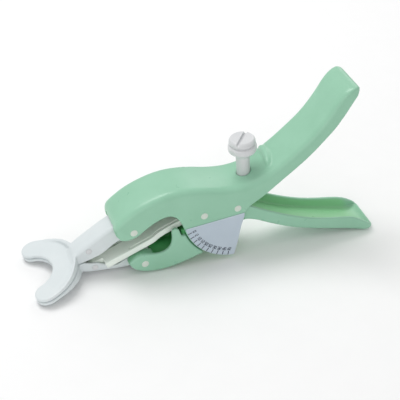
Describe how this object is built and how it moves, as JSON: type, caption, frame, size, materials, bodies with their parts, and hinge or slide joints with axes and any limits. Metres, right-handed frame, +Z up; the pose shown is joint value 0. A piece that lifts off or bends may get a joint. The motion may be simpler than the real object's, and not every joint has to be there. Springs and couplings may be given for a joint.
{
  "type": "mouth-opening trainer",
  "caption": "Squeeze-handle mouth-opening trainer: crossed levers and linked arms spread two curved bite plates, with a side scale fan and a stop screw.",
  "frame": {"origin": "centre of the footprint on the surface it stands on", "axes": "+X from the bite plates to the handles, +Y to the far side, +Z up"},
  "size_m": [0.237, 0.0608, 0.1153],
  "materials": {
    "mint_shell": "moulded, soft gloss",
    "white_plastic": "moulded, satin gloss",
    "pin_plastic": "satin",
    "screw_plastic": "moulded, satin",
    "foot_plastic": "satin",
    "scale_film": "printed film"
  },
  "bodies": {
    "lower": {"lower_lever": "mint_shell", "lower_jaw_pin": "pin_plastic", "upper_link_rear_pin": "pin_plastic"},
    "upper": {"upper_lever": "mint_shell", "main_pin": "pin_plastic", "upper_jaw_pin": "pin_plastic", "lower_link_rear_pin": "pin_plastic", "screw_bush": "pin_plastic", "near_scale": "scale_film", "far_scale": "scale_film"},
    "upper_arm": {"upper_bite_arm": "white_plastic", "upper_link_front_pin": "pin_plastic"},
    "lower_arm": {"lower_bite_arm": "white_plastic", "lower_link_front_pin": "pin_plastic"},
    "upper_link": {"upper_link": "white_plastic"},
    "lower_link": {"lower_link": "white_plastic"},
    "foot": {"screw_foot": "foot_plastic"},
    "screw": {"stop_screw": "screw_plastic"}
  },
  "joints": [
    {"name": "main_fold", "type": "hinge", "parent": "lower", "child": "upper", "pos_m": [0.01703, 0, 0.03934], "axis": [0, 1, 0], "range_deg": [0, 40]},
    {"name": "upper_arm_pivot", "type": "hinge", "parent": "upper", "child": "upper_arm", "pos_m": [-0.05216, 0, 0.03464], "axis": [0, 1, 0], "range_deg": [-31.28, 0]},
    {"name": "lower_arm_pivot", "type": "hinge", "parent": "lower", "child": "lower_arm", "pos_m": [-0.04503, 0, 0.00839], "axis": [0, 1, 0], "range_deg": [0, 31.28]},
    {"name": "upper_link_pivot", "type": "hinge", "parent": "lower", "child": "upper_link", "pos_m": [-0.00319, 0, 0.02908], "axis": [0, 1, 0], "range_deg": [0, 38.84]},
    {"name": "lower_link_pivot", "type": "hinge", "parent": "upper", "child": "lower_link", "pos_m": [-0.0056, 0, 0.03796], "axis": [0, 1, 0], "range_deg": [-38.84, 0]},
    {"name": "screw_travel", "type": "slide", "parent": "upper", "child": "foot", "axis": [-0.0819, 0, 0.9966], "range_m": [-0.00875, 0]},
    {"name": "screw_turn", "type": "hinge", "parent": "foot", "child": "screw", "pos_m": [0.0258, 0, 0.05665], "axis": [-0.0819, 0, 0.9966], "range_deg": [-1260.01, 0]}
  ],
  "couplings": [
    {"joint": "upper_arm_pivot", "follows": "main_fold", "ratio": -0.782},
    {"joint": "lower_arm_pivot", "follows": "main_fold", "ratio": 0.782},
    {"joint": "upper_link_pivot", "follows": "main_fold", "ratio": 0.971},
    {"joint": "lower_link_pivot", "follows": "main_fold", "ratio": -0.971},
    {"joint": "screw_turn", "follows": "screw_travel", "rad_per_m": 2513.3}
  ]
}
